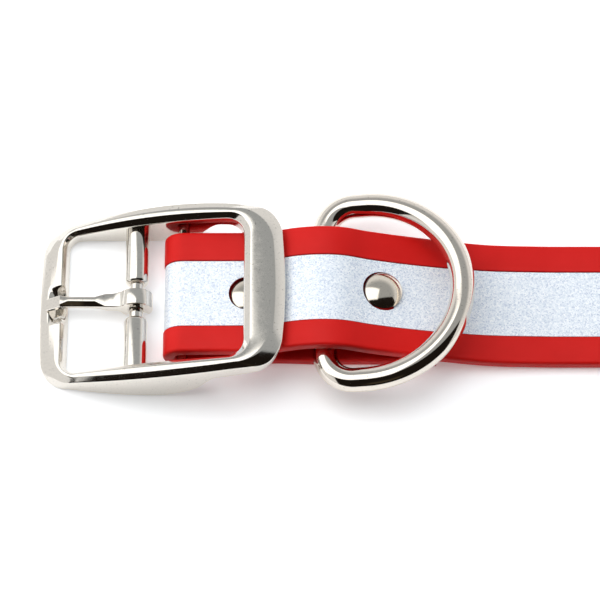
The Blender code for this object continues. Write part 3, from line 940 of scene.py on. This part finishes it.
VIEW_TARGET = Vector((-56.0, 0.9, RISE * 2)) * MM
VIEW_ELEVATION = 65.0
VIEW_DISTANCE = 0.6
VIEW_LENS = 180.4
FLOOR_SIZE = 6.0
FLOOR_Z = -0.00002
FLOOR_GLOW = 0.27

# Lights: (name, place, width and height, power, color), in metres; they light only what is dull.
LIGHT_TARGET = Vector((-0.05, 0.0, 0.0))
LIGHTS = [("key_light", (-0.50, 0.22, 0.55), (0.8, 1.3), 9.1, (1.0, 1.0, 1.0)),
          ("fill_light", (0.30, 0.35, 0.70), (1.0, 1.0), 4.4, (0.88, 0.94, 1.0))]

# The surround, which only reflections see. Each card: the direction it stands in, half width and
# height (1 spans 45 degrees), softness, light.
CEILING_FROM = (0.35, 0.7)
HORIZON_LIGHT = (0.90, 0.90, 0.90)
CEILING_LIGHT = (0.42, 0.44, 0.45)
CARDS = [((0.14, -0.79, 0.60), (1.45, 0.79), 0.04, (0.012, 0.009, 0.007)),
         ((0.05, -0.92, 0.38), (0.22, 0.14), 0.07, (0.05, 0.04, 0.025)),
         ((-0.55, 0.10, 0.83), (0.42, 0.62), 0.05, (1.75, 1.75, 1.73))]


def make_floor():
    bpy.ops.mesh.primitive_plane_add(size=FLOOR_SIZE, location=(0, 0, FLOOR_Z))
    floor = bpy.context.object
    floor.name = "pale_floor"
    nodes = Nodes("pale_floor_paint")
    stops = [(0.3, (0.93, 0.93, 0.93)), (0.7, (0.95, 0.95, 0.95))]
    nodes.link(nodes.ramp(nodes.noise(6.0), stops), nodes.shader.inputs["Base Color"])
    nodes.shader.inputs["Roughness"].default_value = 0.9
    nodes.shader.inputs["Specular IOR Level"].default_value = 0.1
    nodes.shader.inputs["Emission Color"].default_value = (1, 1, 1, 1)
    nodes.shader.inputs["Emission Strength"].default_value = FLOOR_GLOW
    floor.data.materials.append(nodes.material)


def make_lights():
    for name, place, size, power, color in LIGHTS:
        data = bpy.data.lights.new(name, "AREA")
        data.shape = "RECTANGLE"
        data.size, data.size_y = size
        data.energy = power
        data.color = color
        light = bpy.data.objects.new(name, data)
        light.location = place
        light.rotation_euler = (LIGHT_TARGET - Vector(place)).to_track_quat("-Z", "Y").to_euler()
        light.visible_glossy = False
        bpy.context.scene.collection.objects.link(light)


def make_world():
    """A studio as a surround of light: white at the horizon, a grey ceiling, and the cards."""
    world = bpy.data.worlds.new("studio")
    bpy.context.scene.world = world
    world.use_nodes = True
    tree = world.node_tree

    def link(source, target):
        tree.links.new(source, target)

    def calculate(operation, first, second=None):
        node = tree.nodes.new("ShaderNodeMath")
        node.operation = operation
        for socket, value in zip(node.inputs, (first, second)):
            if isinstance(value, (int, float)):
                socket.default_value = value
            elif value:
                link(value, socket)
        return node.outputs["Value"]

    def along(axis):
        node = tree.nodes.new("ShaderNodeVectorMath")
        node.operation = "DOT_PRODUCT"
        link(direction, node.inputs[0])
        node.inputs[1].default_value = axis
        return node.outputs["Value"]

    def fade(value, low, high):
        node = tree.nodes.new("ShaderNodeMapRange")
        node.interpolation_type = "SMOOTHSTEP"
        node.inputs["From Min"].default_value = low
        node.inputs["From Max"].default_value = high
        link(value, node.inputs["Value"])
        return node.outputs["Result"]

    def blend(factor, under, over):
        node = tree.nodes.new("ShaderNodeMix")
        node.data_type = "RGBA"
        link(factor, node.inputs["Factor"])
        for name, value in (("A", under), ("B", over)):
            if isinstance(value, tuple):
                node.inputs[name].default_value = (*value, 1)
            else:
                link(value, node.inputs[name])
        return node.outputs["Result"]

    direction = tree.nodes.new("ShaderNodeTexCoord").outputs["Generated"]
    height = along((0, 0, 1))
    color = blend(fade(height, *CEILING_FROM), HORIZON_LIGHT, CEILING_LIGHT)
    for center, half_size, softness, light in CARDS:
        facing = Vector(center).normalized()
        across = facing.cross(Vector((0, 0, 1))).normalized()
        upward = across.cross(facing)
        ahead = along(facing)
        mask = calculate("GREATER_THAN", ahead, 0.02)
        for axis, half in ((across, half_size[0]), (upward, half_size[1])):
            distance = calculate("ABSOLUTE", calculate("DIVIDE", along(axis), ahead))
            mask = calculate("MULTIPLY", mask, fade(distance, half + softness, half - softness))
        color = blend(mask, color, light)
    link(color, tree.nodes["Background"].inputs["Color"])
    tree.nodes["Background"].inputs["Strength"].default_value = 1.0
    world.cycles_visibility.diffuse = False


def make_camera():
    data = bpy.data.cameras.new("photo_view")
    data.lens = VIEW_LENS
    data.sensor_width = 36.0
    data.clip_start = 0.01
    camera = bpy.data.objects.new("photo_view", data)
    angle = math.radians(VIEW_ELEVATION)
    camera.location = VIEW_TARGET + Vector((0, -math.cos(angle), math.sin(angle))) * VIEW_DISTANCE
    camera.rotation_euler = (VIEW_TARGET - camera.location).to_track_quat("-Z", "Y").to_euler()
    bpy.context.scene.collection.objects.link(camera)
    bpy.context.scene.camera = camera


bpy.context.scene.view_settings.view_transform = "Standard"
make_camera()
make_floor()
make_world()
make_lights()
bright_nickel = nickel_material("bright_nickel", (0.76, 0.72, 0.66), 0.07, 0.00001)
ring_nickel = nickel_material("ring_nickel_plate", (0.77, 0.71, 0.635), 0.055, 0.00001)
rivet_nickel = nickel_material("rivet_nickel_plate", (0.74, 0.68, 0.59), 0.09, 0.00001)
make_strap()
make_buckle(bright_nickel)
make_tongue(bright_nickel)
make_ring(ring_nickel)
make_rivets(rivet_nickel)

bpy.context.view_layer.update()
